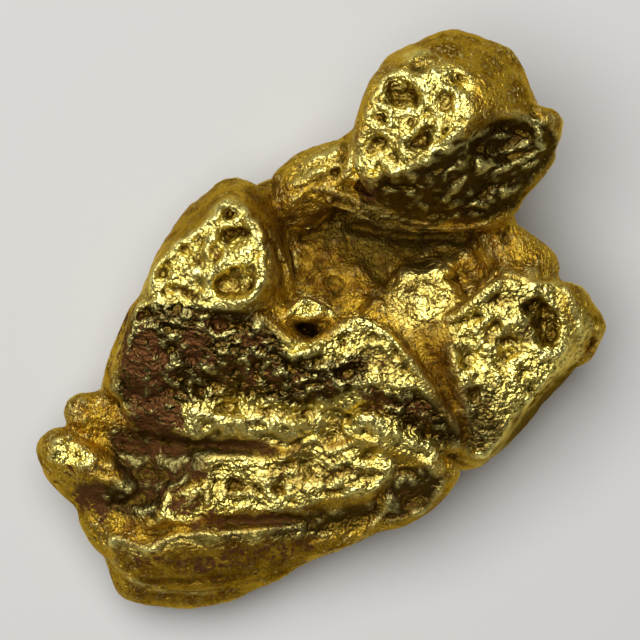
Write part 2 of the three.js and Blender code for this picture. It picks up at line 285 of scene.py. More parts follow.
# every mark is in millimetres over the plan of the lump: a line has its width, height and points,
# and a dent its middle, half width, half height, turn, depth and, if it has one, its rim
headMarks = [
    ("line", 0.09, 0.12, [(0.95, 4.15), (1.5, 4.02), (2.4, 4.28), (3.0, 4.58), (3.5, 5.0), (4.0, 5.65)]),
    ("line", 0.08, 0.08, [(0.98, 4.2), (0.92, 4.7), (1.3, 5.5)]),
    ("dent", 2.75, 7.3, 0.3, 0.24, 20, 0.16, 0.04),
    ("line", 0.1, 0.07, [(2.3, 7.55), (2.7, 7.7), (3.1, 7.6)]),
    ("dent", 2.25, 6.45, 0.66, 0.48, 10, 0.26, 0.09),
    ("dent", 2.5, 6.7, 0.36, 0.26, 0, -0.14),
    ("dent", 1.75, 5.82, 0.3, 0.26, 0, 0.14, 0.1),
    ("line", 0.06, 0.07, [(1.95, 6.15), (2.1, 5.7), (2.3, 5.15)]),
    ("dent", 2.55, 5.72, 0.24, 0.2, 0, 0.08, 0.02),
    ("dent", 2.85, 5.2, 0.6, 0.3, 50, 0.12, 0.05),
    ("dent", 2.72, 4.8, 0.2, 0.13, 20, 0.12),
    ("dent", 3.05, 5.95, 0.2, 0.16, 0, 0.09, 0.03),
    ("line", 0.07, 0.07, [(2.3, 5.1), (2.75, 5.55), (3.2, 5.85)]),
    ("dent", 3.6, 6.35, 0.32, 0.28, 30, 0.18, 0.05),
    ("dent", 3.7, 6.88, 0.22, 0.2, 0, 0.09, 0.03),
    ("dent", 2.5, 6.22, 0.28, 0.1, -5, 0.09),
    ("dent", 1.6, 4.45, 0.2, 0.16, -50, 0.13, 0.02),
    ("dent", 1.9, 5.15, 0.28, 0.11, -40, 0.09),
    ("line", 0.07, -0.11, [(2.95, 4.85), (3.3, 5.2), (3.75, 5.65)]),
    ("dent", 4.45, 6.4, 0.42, 0.26, -45, 0.1),
    ("line", 0.06, -0.04, [(4.0, 7.6), (4.6, 7.3), (5.0, 6.9)]),
    ("line", 0.06, -0.05, [(4.2, 7.9), (4.9, 7.5), (5.35, 7.0)]),
    ("line", 0.06, -0.05, [(4.8, 7.85), (5.3, 7.5), (5.6, 7.1)]),
    ("line", 0.08, 0.06, [(4.4, 7.1), (4.9, 6.7), (5.4, 6.3)]),
    # the sunken side of the head
    ("dent", 5.3, 4.95, 1.1, 0.75, 15, 0.15),
    ("dent", 5.6, 5.35, 0.5, 0.25, -15, 0.12),
    ("line", 0.09, 0.22, [(4.2, 5.05), (4.4, 5.3), (4.8, 5.5), (5.2, 5.75)]),
    ("line", 0.1, 0.12, [(5.2, 5.8), (5.65, 5.88), (6.1, 5.65), (6.35, 5.55)]),
    ("dent", 4.7, 4.38, 0.6, 0.38, 10, -0.45),
    ("dent", 5.45, 5.0, 0.45, 0.14, -10, -0.16),
    ("dent", 4.45, 4.9, 0.3, 0.2, 30, 0.18),
    ("line", 0.09, 0.26, [(3.45, 3.9), (3.75, 4.28), (4.15, 4.55)]),
    ("line", 0.09, 0.26, [(3.15, 2.75), (3.35, 3.2), (3.75, 3.6), (4.15, 4.0), (4.3, 4.15)]),
    ("dent", 4.6, 3.7, 0.45, 0.35, 0, 0.28),
    ("dent", 2.3, 3.85, 0.8, 0.3, 5, 0.26),
    ("dent", 2.5, 3.5, 0.45, 0.16, 0, -0.2),
    ("dent", 3.2, 3.5, 0.3, 0.3, 40, 0.2),
    ("dent", 3.3, 4.3, 0.35, 0.2, 30, 0.16),
    ("line", 0.08, 0.16, [(4.1, 3.2), (4.45, 3.36), (4.8, 3.2)]),
    ("dent", 4.4, 3.0, 0.4, 0.16, 0, -0.16),
    ("line", 0.12, 0.16, [(5.4, 4.0), (5.9, 4.3), (6.3, 4.55)]),
    ("line", 0.1, 0.14, [(5.1, 3.5), (5.4, 3.75), (5.85, 3.9)]),
    ("line", 0.1, -0.16, [(5.2, 3.8), (5.7, 4.1), (6.2, 4.3)]),
    ("line", 0.09, 0.14, [(6.2, 5.4), (6.2, 4.95), (6.4, 4.7)]),
    ("dent", 6.5, 5.2, 0.2, 0.3, 0, 0.14),
    ("line", 0.13, -0.16, [(5.95, 6.15), (6.1, 5.8), (6.1, 5.6)]),
    ("dent", 6.5, 5.7, 0.34, 0.28, -40, -0.1),
    ("dent", 1.3, 3.85, 0.5, 0.35, -25, -0.7),
    ("line", 0.12, 0.14, [(1.0, 3.95), (1.7, 3.88), (2.6, 4.22), (3.4, 4.7), (4.0, 5.35), (4.25, 5.9)]),
    ("line", 0.1, -0.2, [(4.3, 4.0), (4.45, 4.75), (4.3, 5.1)]),
    ("line", 0.14, -0.3, [(4.9, 5.6), (5.4, 5.6), (5.95, 5.4)]),
    ("dent", 2.1, 3.95, 0.7, 0.22, 5, 0.2),
    ("line", 0.07, 0.2, [(2.0, 3.75), (2.5, 3.62), (3.0, 3.75)]),
    ("line", 0.06, 0.18, [(1.7, 3.45), (2.2, 3.3), (2.8, 3.3), (3.2, 3.05)]),
    ("line", 0.06, 0.2, [(4.9, 4.75), (5.4, 4.8), (5.9, 5.05)]),
    ("line", 0.06, 0.18, [(5.0, 4.1), (5.4, 4.35), (5.9, 4.6), (6.3, 4.95)]),
    ("line", 0.06, 0.16, [(4.75, 5.15), (5.2, 5.3), (5.7, 5.25)]),
    ("line", 0.06, 0.16, [(3.6, 4.7), (3.9, 5.0), (4.2, 5.2)]),
    ("dent", 3.4, 3.2, 0.3, 0.4, 40, 0.25),
]

collarMarks = [
    ("line", 0.06, 0.22, [(0.3, 3.75), (0.9, 3.45), (1.5, 3.2), (2.2, 3.1), (2.8, 2.95)]),
    ("line", 0.06, 0.22, [(0.4, 3.5), (1.1, 3.2), (1.7, 2.98), (2.4, 2.85), (3.0, 2.75), (3.8, 2.78)]),
    ("line", 0.07, 0.22, [(0.5, 3.2), (1.3, 2.92), (2.0, 2.68), (2.6, 2.58), (3.4, 2.6), (4.3, 2.62),
                          (4.9, 2.85)]),
    ("line", 0.06, -0.18, [(0.4, 3.62), (1.0, 3.32), (1.6, 3.08), (2.4, 2.96)]),
    ("line", 0.06, -0.18, [(0.5, 3.35), (1.2, 3.05), (1.8, 2.84), (2.5, 2.72)]),
    ("line", 0.17, -0.26, [(0.5, 2.7), (1.5, 2.5), (2.5, 2.35), (4.2, 2.35), (4.9, 2.55)]),
    ("line", 0.12, -0.22, [(0.78, 5.1), (0.6, 4.5), (0.35, 3.95)]),
    # folds of the shoulder
    ("line", 0.12, 0.12, [(-0.85, 3.85), (-0.2, 4.12), (0.4, 4.35)]),
    ("line", 0.1, 0.1, [(-0.5, 4.3), (0.0, 4.65), (0.55, 4.9)]),
    ("line", 0.07, -0.1, [(-0.6, 4.1), (0.0, 4.38), (0.55, 4.6)]),
    ("line", 0.08, -0.1, [(-0.7, 3.65), (0.0, 3.95), (0.3, 4.1)]),
    ("line", 0.08, 0.1, [(-0.9, 3.3), (-0.4, 3.6), (0.15, 3.75)]),
    ("dent", -0.05, 3.0, 0.35, 0.35, -40, -0.16),
    ("line", 0.07, 0.1, [(-0.2, 2.6), (0.3, 2.68), (0.7, 2.78)]),
    ("dent", 0.45, 3.35, 0.2, 0.15, 30, 0.1, 0.03),
]

peakMarks = [
    ("line", 0.08, 0.1, [(-4.85, 0.9), (-4.6, 1.5), (-4.0, 2.15), (-3.3, 2.65), (-2.85, 3.05),
                         (-2.6, 3.5)]),
    ("line", 0.08, 0.11, [(-2.35, 3.5), (-2.05, 3.05), (-1.85, 2.4), (-1.6, 1.7), (-1.45, 1.15),
                          (-1.8, 0.85), (-2.4, 0.55), (-3.0, 0.5)]),
    ("line", 0.07, 0.08, [(-4.2, 0.4), (-3.6, 0.35), (-2.9, 0.33), (-2.1, 0.4)]),
    ("dent", -2.6, 3.05, 0.32, 0.28, 0, 0.34, 0.06),
    ("dent", -2.35, 2.55, 0.5, 0.17, 5, 0.34),
    ("dent", -2.6, 2.25, 0.36, 0.2, 0, 0.1),
    ("line", 0.1, 0.1, [(-3.0, 2.75), (-2.95, 2.4), (-3.3, 2.0), (-3.6, 1.65)]),
    ("line", 0.1, 0.08, [(-3.1, 1.5), (-2.7, 1.85), (-2.2, 2.05), (-1.9, 2.0)]),
    ("dent", -2.45, 1.15, 0.8, 0.56, 20, 0.1, 0.1),
    ("dent", -2.15, 1.15, 0.24, 0.16, 30, -0.14),
    ("dent", -2.6, 1.0, 0.2, 0.12, 30, -0.12),
    ("dent", -2.4, 1.4, 0.2, 0.1, 20, -0.1),
    ("dent", -3.65, 1.35, 0.34, 0.28, 0, -0.12),
    ("dent", -3.75, 0.75, 0.45, 0.17, -15, 0.18, 0.03),
    ("dent", -3.1, 1.75, 0.38, 0.13, 35, 0.12),
    ("line", 0.08, -0.11, [(-4.5, 1.35), (-4.0, 1.9), (-3.4, 2.35)]),
    ("dent", -4.15, 1.45, 0.22, 0.2, 0, 0.09, 0.02),
    ("line", 0.09, 0.16, [(-1.95, 3.1), (-1.65, 2.5), (-1.4, 1.8), (-1.25, 1.1), (-1.2, 0.7)]),
    ("line", 0.08, 0.16, [(-1.45, 2.7), (-1.2, 2.1), (-1.0, 1.5), (-0.85, 1.1)]),
    ("line", 0.06, 0.12, [(-1.1, 2.8), (-0.85, 2.2), (-0.7, 1.6), (-0.6, 1.2)]),
    ("line", 0.06, -0.14, [(-1.7, 2.9), (-1.4, 2.2), (-1.2, 1.5), (-1.05, 0.9)]),
    ("line", 0.06, -0.16, [(-1.2, 2.5), (-1.0, 1.9), (-0.8, 1.3), (-0.65, 0.9)]),
]

slabMarks = [
    # the roofed hole at the top of the slab
    ("dent", -0.35, -0.25, 0.45, 0.26, -5, 0.6),
    ("line", 0.1, 0.16, [(-1.15, -0.05), (-0.8, 0.35), (-0.45, 0.7)]),
    ("line", 0.08, 0.1, [(-0.45, 0.7), (-0.1, 0.55), (0.5, 0.2)]),
    ("line", 0.08, 0.16, [(-1.4, -0.1), (-1.1, -0.4), (-0.65, -0.68)]),
    ("line", 0.1, 0.16, [(-1.0, -0.95), (-0.4, -1.0), (0.15, -0.65)]),
    ("dent", -1.75, -0.2, 0.26, 0.18, 10, -0.14),
    # steps down the granular slope
    ("dent", -2.5, -0.2, 0.7, 0.22, 0, 0.16),
    ("dent", -4.1, -0.25, 0.6, 0.2, 0, 0.1),
    ("line", 0.07, 0.05, [(-2.5, -0.6), (-2.1, -0.75), (-1.6, -0.7)]),
    ("dent", -2.6, -1.9, 3.2, 0.8, 3, 0.22),
    ("dent", 0.75, -1.45, 0.55, 0.3, 20, 0.2),
    ("dent", 0.55, -0.95, 0.3, 0.16, 0, -0.08),
    # the bright plateau and its lip
    ("line", 0.12, 0.12, [(0.6, -0.1), (1.0, 0.12), (1.5, -0.15), (2.0, -0.45), (2.5, -0.95), (3.0, -1.8)]),
    ("dent", 0.55, -0.35, 0.26, 0.2, 0, -0.1),
    ("dent", 1.3, -0.55, 0.3, 0.22, 0, 0.1),
    ("dent", 1.75, -1.0, 0.4, 0.16, -30, 0.1),
    ("line", 0.08, 0.12, [(0.8, -1.85), (1.2, -1.85), (1.8, -1.75), (2.4, -1.9), (3.0, -1.9)]),
    ("line", 0.07, 0.12, [(2.9, -1.35), (3.35, -2.15), (3.8, -2.9), (4.05, -3.5)]),
    ("line", 0.1, -0.1, [(1.1, -2.25), (2.0, -2.3), (3.0, -2.4)]),
    ("line", 0.08, 0.06, [(1.0, -2.15), (1.6, -2.1), (2.3, -2.2), (2.9, -2.15)]),
    # the band of small swellings along the foot
    ("line", 0.22, 0.14, [(-4.4, -2.55), (-3.4, -2.7), (-2.6, -2.85), (-1.6, -2.95), (-0.6, -3.0),
                          (0.2, -2.85)]),
    ("dent", -2.3, -2.8, 0.42, 0.2, 10, -0.1),
    ("dent", -0.6, -2.95, 0.22, 0.18, 0, -0.1),
    ("dent", 0.1, -2.95, 0.24, 0.22, 0, -0.1),
    ("dent", -0.15, -2.65, 0.2, 0.14, 0, -0.08),
    ("line", 0.06, -0.08, [(-2.0, -3.1), (-1.2, -2.95), (-0.8, -2.6)]),
    ("line", 0.2, -0.4, [(-6.0, -3.5), (-5.2, -3.68), (-4.0, -3.6), (-3.2, -3.58), (-2.2, -3.66),
                         (-1.5, -3.85)]),
    # the arched mound under its crack
    ("dent", 1.4, -2.9, 0.75, 0.42, 0, -0.16),
    ("line", 0.08, -0.3, [(0.65, -3.0), (0.85, -2.7), (1.15, -2.45), (1.6, -2.45), (1.95, -2.8)]),
    ("line", 0.3, 0.16, [(-4.0, -3.12), (-2.5, -3.2), (-1.2, -3.28), (0.1, -3.15)]),
    ("line", 0.06, 0.07, [(0.3, -3.5), (0.9, -3.15), (1.7, -3.1), (2.4, -3.35), (3.0, -3.8)]),
    ("line", 0.05, 0.05, [(2.2, -3.3), (2.9, -3.55), (3.5, -3.95)]),
    ("line", 0.08, 0.08, [(-5.55, -1.0), (-5.3, -0.3), (-5.0, 0.3)]),
]

terraceMarks = [
    ("line", 0.07, 0.14, [(-1.1, -3.9), (-0.7, -3.6), (-0.3, -3.45), (0.0, -3.5), (0.25, -3.75),
                          (0.7, -3.6), (1.1, -3.45), (1.4, -3.38), (1.8, -3.6), (2.05, -4.0)]),
    ("line", 0.08, 0.1, [(-3.3, -3.75), (-3.1, -4.1), (-2.4, -3.9), (-1.7, -3.9)]),
    ("line", 0.08, 0.12, [(-3.1, -4.2), (-3.2, -4.9), (-3.25, -5.5)]),
    ("dent", -2.4, -4.7, 0.32, 0.25, 0, 0.14, 0.04),
    ("dent", -2.3, -5.2, 0.28, 0.2, 0, 0.14, 0.05),
    ("dent", -0.8, -4.1, 0.52, 0.16, 0, 0.16),
    ("dent", 0.2, -4.4, 0.32, 0.3, 0, 0.12, 0.03),
    ("dent", 1.3, -3.9, 0.28, 0.22, 0, 0.16, 0.04),
    ("dent", 1.4, -4.42, 0.38, 0.15, 10, 0.14),
    ("dent", -1.2, -4.85, 0.22, 0.2, 0, 0.12, 0.03),
    ("dent", -1.62, -4.6, 0.26, 0.5, 20, -0.12),
    ("dent", 1.85, -4.05, 0.3, 0.22, 0, -0.1),
    ("dent", 1.0, -4.8, 0.42, 0.2, 0, -0.1),
    ("line", 0.08, 0.08, [(0.3, -4.2), (0.6, -4.05), (0.9, -3.95)]),
    ("line", 0.17, -0.22, [(-3.2, -5.8), (-2.0, -5.75), (-1.0, -5.7), (-0.2, -5.65)]),
    ("line", 0.06, 0.14, [(-4.4, -4.75), (-4.0, -4.6), (-3.7, -4.4)]),
    ("line", 0.08, -0.12, [(-4.2, -4.88), (-3.8, -4.72), (-3.3, -4.68)]),
    ("dent", -3.42, -4.15, 0.38, 0.36, 0, -0.16),
    ("line", 0.07, 0.08, [(-4.6, -5.4), (-4.3, -5.6), (-3.8, -5.75), (-3.3, -5.75)]),
    ("line", 0.1, 0.12, [(-5.0, -5.95), (-4.7, -5.75), (-4.5, -5.7)]),
    ("dent", -4.8, -4.35, 0.95, 0.42, -5, 0.35),
    ("dent", -5.0, -5.1, 0.5, 0.4, 0, 0.3),
]

rollMarks = [
    ("line", 0.09, 0.16, [(-6.1, -6.1), (-5.6, -6.3), (-5.2, -6.48), (-4.85, -6.52), (-4.5, -6.3),
                          (-4.0, -6.1), (-3.3, -6.05), (-2.9, -6.1), (-2.3, -5.95), (-1.5, -5.95),
                          (-0.2, -5.92)]),
    ("dent", -4.6, -6.05, 0.8, 0.2, 5, 0.12),
    ("line", 0.13, -0.1, [(-5.6, -6.95), (-5.1, -7.3), (-4.4, -7.48), (-3.2, -7.35), (-2.0, -7.2),
                          (-0.2, -6.6)]),
    ("line", 0.08, 0.1, [(-6.05, -6.6), (-5.75, -7.1), (-5.2, -7.5), (-4.4, -7.75), (-3.5, -7.8),
                         (-2.6, -7.6)]),
    ("line", 0.07, 0.14, [(1.95, -5.0), (1.9, -5.4), (1.5, -5.9), (1.1, -6.2)]),
    ("dent", 0.6, -5.8, 1.6, 0.5, 12, 0.25),
    ("dent", 2.6, -4.95, 0.7, 0.6, 0, 0.3),
    ("dent", 2.6, -4.62, 0.25, 0.16, 0, -0.14),
    ("line", 0.08, 0.12, [(3.7, -4.4), (3.4, -4.9), (3.0, -5.4), (2.4, -5.7)]),
    ("dent", 3.2, -4.15, 0.6, 0.3, -30, -0.2),
    ("line", 0.08, -0.14, [(2.1, -4.3), (2.5, -4.32), (2.95, -4.5)]),
]

fingerMarks = [
    ("line", 0.08, 0.1, [(-7.7, -3.8), (-7.6, -3.45), (-7.1, -3.35), (-6.7, -3.65), (-6.4, -4.0),
                         (-6.8, -4.08), (-7.3, -4.05), (-7.65, -3.85)]),
    ("dent", -7.0, -3.75, 0.38, 0.13, -35, 0.14),
    ("line", 0.08, -0.14, [(-6.45, -4.2), (-6.2, -4.3), (-6.0, -4.4)]),
    ("dent", -6.0, -4.1, 0.2, 0.18, 0, -0.14),
    ("line", 0.12, 0.14, [(-6.3, -4.4), (-5.9, -4.55), (-5.5, -4.75), (-5.25, -4.85)]),
    ("dent", -6.8, -2.3, 0.24, 0.16, -20, -0.14),
    ("line", 0.06, -0.12, [(-7.05, -2.45), (-6.6, -2.5)]),
    ("line", 0.06, 0.1, [(-5.95, -2.2), (-5.7, -2.7), (-5.45, -3.1)]),
    ("dent", -6.2, -3.1, 0.5, 0.35, -20, 0.12),
    ("line", 0.07, -0.12, [(-7.6, -4.5), (-7.2, -4.95), (-6.8, -5.3)]),
]

wingMarks = [
    ("line", 0.3, 0.2, [(3.75, -0.5), (3.8, -1.1), (4.0, -1.9), (4.2, -2.8)]),
    ("line", 0.1, 0.12, [(3.4, -0.1), (3.9, 0.15), (4.3, 0.5), (4.7, 0.7), (5.1, 1.0)]),
    ("line", 0.1, -0.14, [(3.7, -0.25), (4.3, 0.08), (4.6, 0.3)]),
    ("line", 0.08, 0.06, [(5.1, 1.15), (5.6, 1.1), (6.2, 1.1), (6.7, 1.1)]),
    ("dent", 5.0, 0.62, 0.42, 0.16, 5, 0.11),
    ("dent", 6.1, 0.42, 0.48, 0.26, 10, 0.2, 0.03),
    ("dent", 6.45, -0.05, 0.5, 0.8, 10, 0.2),
    ("dent", 5.4, -0.6, 0.65, 0.17, -5, 0.16),
    ("dent", 6.5, -0.7, 0.52, 0.2, 0, 0.15),
    ("line", 0.1, 0.1, [(5.9, -0.7), (6.3, -0.95), (6.9, -0.9), (7.3, -0.75)]),
    ("dent", 5.5, 0.0, 0.65, 0.3, 10, -0.1),
    ("dent", 4.5, -0.8, 0.34, 0.3, 0, -0.08),
    ("dent", 5.3, -1.5, 0.6, 0.4, -30, -0.08),
    ("dent", 4.3, -1.6, 0.25, 0.2, 0, -0.06),
    ("line", 0.12, 0.12, [(6.9, 0.95), (7.15, 0.5), (7.3, 0.0), (7.5, -0.5)]),
    ("line", 0.1, -0.16, [(7.55, -1.05), (6.9, -1.6), (6.2, -2.4), (5.75, -2.95)]),
    ("dent", 7.72, -0.64, 0.16, 0.38, -22, 0.3, 0.05),
    ("line", 0.05, 0.06, [(3.05, -1.25), (3.4, -2.0), (3.8, -2.6), (4.0, -3.1)]),
]

saddleMarks = [
    ("line", 0.2, 0.22, [(4.0, 0.55), (4.6, 1.0), (5.2, 1.3), (6.4, 1.35)]),
    ("dent", 1.9, 2.7, 3.4, 1.9, 0, 0.35),
    ("line", 0.05, 0.06, [(-0.3, 2.2), (0.3, 2.0), (0.9, 1.9)]),
    ("dent", 3.7, 1.48, 0.34, 0.24, 0, -0.5),
    ("line", 0.09, -0.3, [(3.45, 1.2), (3.75, 1.16), (4.0, 1.25)]),
    ("dent", 1.55, 0.6, 0.26, 0.14, -30, -0.12),
    ("dent", 0.9, 1.5, 0.4, 0.5, 0, -0.1),
    ("dent", 0.7, 0.9, 0.6, 0.3, 0, 0.08),
    ("dent", 1.8, 1.4, 0.5, 0.3, 10, 0.12),
    ("dent", 4.9, 1.9, 0.35, 0.6, 15, -0.12),
    ("dent", 5.5, 2.0, 0.25, 0.7, 15, 0.08),
]

# the worn faces, each inside a drawn outline
wornFaces = {
    "tip": [(6.9, 0.9), (7.3, 0.4), (7.8, -0.1), (7.7, -0.4), (7.3, -0.9), (7.2, 0.0)],
    "head": [(0.9, 4.1), (0.85, 4.6), (1.3, 5.5), (1.45, 6.1), (1.75, 6.8), (2.1, 7.1), (3.0, 7.35),
             (4.0, 7.2), (4.5, 6.8), (4.35, 6.1), (4.05, 5.35), (3.45, 4.7), (2.7, 4.25), (1.8, 3.85)],
    "crown": [(2.4, 7.45), (2.4, 7.6), (3.0, 7.75), (3.1, 7.6), (2.8, 7.45)],
    "peak": [(-2.5, 3.55), (-2.1, 3.2), (-1.7, 2.4), (-1.45, 1.1), (-1.9, 0.6), (-2.6, 0.25), (-4.2, 0.1),
             (-5.3, -0.1), (-5.1, 0.6), (-4.8, 1.3), (-4.2, 2.1), (-3.3, 2.7), (-2.9, 3.2)],
    "slab": [(-5.3, -0.2), (-4, 0.1), (-2.4, 0.1), (-1, -0.6), (0.2, -0.6), (1, 0.2), (2.1, -0.4),
             (3.1, -2), (4, -3.6), (3.2, -3.9), (2.2, -3.4), (1.2, -2.5), (0.4, -3.4), (-1.2, -3.6),
             (-3.5, -3.4), (-5, -2.7), (-5.8, -2.2), (-5.6, -1.2)],
    "roof": [(-1.0, 0.2), (-0.5, 0.7), (0.0, 0.5), (0.5, 0.15), (-0.2, 0.1), (-0.8, 0.0)],
    "mound": [(0.6, -3.3), (1.1, -2.6), (1.7, -2.6), (2.2, -3.1), (3.5, -3.7), (3.4, -4.05), (2.3, -3.8),
              (1.4, -3.35)],
    "terrace": [(-3.2, -4), (-1, -3.9), (-0.2, -3.5), (0.3, -3.7), (1.4, -3.4), (2.1, -4), (2, -4.6),
                (1.2, -5), (0.2, -5), (-1.2, -5.5), (-2.9, -5.6), (-3.2, -5.4)],
    "apron": [(-4.4, -4.9), (-3.3, -4.7), (-3.3, -5.7), (-4.5, -5.7)],
    "wing": [(3.7, -0.1), (4.2, 0.4), (5, 1.1), (6.8, 1.1), (6.8, 0.4), (7.2, -0.4), (7.5, -0.85),
             (6.9, -1.6), (6.3, -2.35), (5.6, -3.1), (4.75, -4.0), (4.2, -3.9), (4.2, -2.4), (3.9, -1.2),
             (3.6, -0.6)],
    "crest": [(-6.1, -6.2), (-5.2, -6.5), (-4.4, -6.2), (-3.0, -6.05), (-0.2, -5.9), (0.3, -6.1),
              (-3.0, -6.4), (-4.4, -6.5), (-5.2, -6.75), (-6.1, -6.45)],
    "hump": [(2.2, 0.4), (2.7, -0.05), (3.4, 0.0), (3.75, 0.8), (3.35, 1.5), (2.6, 1.2)],
    "finger": [(-7.7, -3.5), (-7.2, -3.3), (-6.7, -3.5), (-6.35, -3.9), (-6.6, -4.1), (-7.3, -4.1),
               (-7.7, -3.9)],
}

# reddish earth left in the low places: x, y, half width, half height, turn, strength
earthSpots = [
    (-5.0, -1.3, 0.95, 2.0, 10, 1.15), (-4.7, -2.8, 1.2, 0.8, -10, 1.1), (-3.65, -0.7, 0.55, 0.6, 0, 1.0),
    (-2.05, -1.5, 0.3, 0.8, 0, 0.9), (-0.6, -1.65, 0.3, 0.45, 0, 0.8), (-3.2, -1.9, 0.5, 0.35, 0, 0.6),
    (-3.3, -1.2, 0.4, 0.5, 0, 0.8), (-3.1, -0.2, 0.5, 0.3, 0, 0.8), (-1.3, -1.5, 0.3, 0.6, 0, 0.8),
    (0.4, -1.8, 0.5, 0.3, 0, 0.7), (-2.7, -1.5, 0.3, 0.6, 0, 0.7), (-2.7, -3.6, 1.8, 0.2, -3, 0.9),
    (-5.2, -3.6, 1.1, 0.4, 0, 0.9), (1.6, -2.3, 0.7, 0.3, 0, 0.9), (2.9, -2.6, 0.6, 0.35, -40, 0.7),
    (5.9, -0.3, 0.5, 0.5, 0, 0.6), (2.7, -2.3, 0.3, 0.3, 0, 0.6), (-6.5, -5.0, 0.9, 0.6, -35, 0.9),
    (-3.4, -4.25, 0.42, 0.6, 0, 1.0), (-4.8, -4.5, 1.2, 0.9, -5, 0.6), (1.35, 3.7, 0.5, 0.35, -20, 1.3),
    (2.4, -5.0, 0.6, 0.6, 0, 0.6), (-1.9, -5.7, 1.7, 0.3, 0, 0.8), (-4.3, -3.7, 1.0, 0.25, 0, 1.0),
    (-3.9, -5.3, 0.6, 0.4, 0, 0.8), (-1.9, -0.5, 0.5, 0.3, -10, 0.7), (-2.2, -6.75, 2.8, 0.4, 8, 0.6),
    (-4.9, -6.8, 0.7, 0.4, 0, 0.7), (1.6, -1.5, 0.3, 0.3, 0, 0.4),
]

# tarnish and painted shade that turn the smooth hollows, the creases and the saddle under the head brown
tarnishAndShadeSpots = [
    (1.6, 2.3, 3.4, 1.0, 0, 1.1), (0.6, 1.5, 2.0, 1.2, -10, 1.1), (4.6, 1.4, 0.7, 0.6, 0, 0.4),
    (-2.7, -3.65, 3.6, 0.35, -3, 1.0), (-4.8, -4.4, 1.6, 1.2, -5, 0.8), (3.4, -2.2, 0.5, 1.5, 30, 0.4),
    (-3.6, -6.3, 3.2, 0.35, 3, 1.0), (-2.0, -5.72, 2.0, 0.3, 0, 1.4), (-3.8, -7.8, 2.6, 0.5, 3, 0.6),
    (-3.8, 2.9, 1.6, 0.7, 40, 0.4), (1.5, 3.2, 1.9, 0.4, -12, 0.8), (4.0, 2.7, 1.3, 0.35, 0, 0.8),
    (-2.6, -6.9, 3.8, 0.9, 8, 0.7), (-4.8, -5.9, 1.0, 0.3, 0, 1.0), (3.4, -0.7, 0.8, 1.0, 30, 1.0),
    (3.75, -2.3, 0.6, 1.9, 18, 1.2), (2.1, 1.7, 1.3, 0.6, 0, 1.1), (-1.6, 3.3, 0.9, 0.8, 0, 0.7),
    (-0.3, -4.5, 2.4, 0.7, 3, 0.7), (1.8, -1.0, 1.1, 0.7, -45, 0.65), (2.9, 0.7, 0.8, 0.7, 0, 0.65),
    (-3.9, -5.2, 0.8, 0.5, 0, 0.9), (-3.4, -4.2, 0.5, 0.6, 0, 0.7), (-1.5, -2.8, 2.4, 0.4, 0, 0.6),
    (5.0, 1.8, 0.9, 0.9, 0, 0.4), (2.6, -5.0, 1.0, 0.9, 0, 0.7), (0.4, -5.7, 1.6, 0.5, 12, 0.4),
    (-1.6, -6.0, 1.8, 0.25, 3, 0.9), (6.3, -2.45, 1.9, 0.3, 50, 1.2), (4.7, -3.0, 0.6, 1.1, 15, 0.8),
    # brown hollows of the worn faces, tarnish and painted shade
    (-2.45, 1.15, 0.75, 0.45, 25, 0.9), (-3.75, 0.75, 0.55, 0.22, -15, 0.9),
    (-3.3, 1.9, 0.6, 0.22, 35, 0.7), (3.6, 6.3, 0.35, 0.35, 0, 0.8), (1.7, 4.6, 0.6, 0.3, -45, 0.7),
    (2.4, 6.2, 0.45, 0.2, -5, 0.7), (5.5, -0.5, 1.1, 0.35, -10, 0.8), (5.0, 0.6, 0.6, 0.2, 5, 0.6),
    (-0.9, -4.1, 0.8, 0.3, 0, 0.9), (-2.4, -4.8, 0.6, 0.4, 0, 0.9), (0.7, -4.3, 0.7, 0.35, 0, 0.8),
    (1.6, -0.8, 0.6, 0.4, -30, 0.8), (-3.6, -7.4, 2.4, 0.2, 3, 1.0), (-5.1, -4.4, 1.2, 0.8, 0, 1.0),
]

# worn faces that fade slowly into the smooth metal beside them
fadingFaces = {
    "shoulderTop": [(-0.6, 4.0), (-0.5, 4.4), (0.0, 4.75), (0.5, 4.9), (0.5, 4.3), (0.0, 4.1)],
    "wingSide": [(3.8, 0.0), (4.3, 0.4), (4.6, -1.0), (4.7, -2.0), (4.4, -2.2), (4.0, -1.2), (3.7, -0.6)],
    "humpSide": [(2.0, 0.5), (2.1, 1.3), (3.0, 1.7), (3.8, 1.6), (3.9, 0.6), (3.4, -0.2), (2.5, -0.3)],
    "bandFoot": [(-4.0, -2.5), (0.3, -2.5), (0.2, -3.15), (-1.4, -3.3), (-3.4, -3.1)],
}

# hollows that get only half as much painted shade
halfShadedFaces = {
    "wingFoot": [(4.1, -1.9), (5.1, -2.0), (5.3, -2.4), (4.6, -2.6), (5.2, -3.0), (4.6, -3.8),
                 (4.1, -3.6), (4.2, -2.5)],
    "flank": [(-1.2, -5.55), (1.8, -5.1), (1.7, -5.6), (0.4, -6.1), (-1.4, -6.3)],
    "peakPit": [(-2.85, 3.2), (-2.4, 3.3), (-2.3, 2.95), (-2.7, 2.8)],
    "peakSlot": [(-2.9, 2.6), (-2.4, 2.78), (-1.9, 2.7), (-2.0, 2.4), (-2.7, 2.35)],
    "headPit": [(1.7, 6.65), (2.0, 6.85), (2.35, 6.7), (2.3, 6.3), (1.9, 6.15)],
    "headScar": [(2.25, 5.05), (2.55, 5.5), (3.1, 5.75), (3.25, 5.4), (2.95, 4.9), (2.65, 4.65)],
    "wingHollow": [(5.6, 0.7), (6.5, 0.6), (6.9, -0.1), (6.7, -0.7), (6.0, -0.7), (5.9, 0.1)],
    "wingRim": [(7.3, -1.3), (6.5, -2.4), (5.8, -3.2), (4.9, -4.1), (4.7, -4.05), (5.5, -3.1),
                (6.4, -2.15)],
}
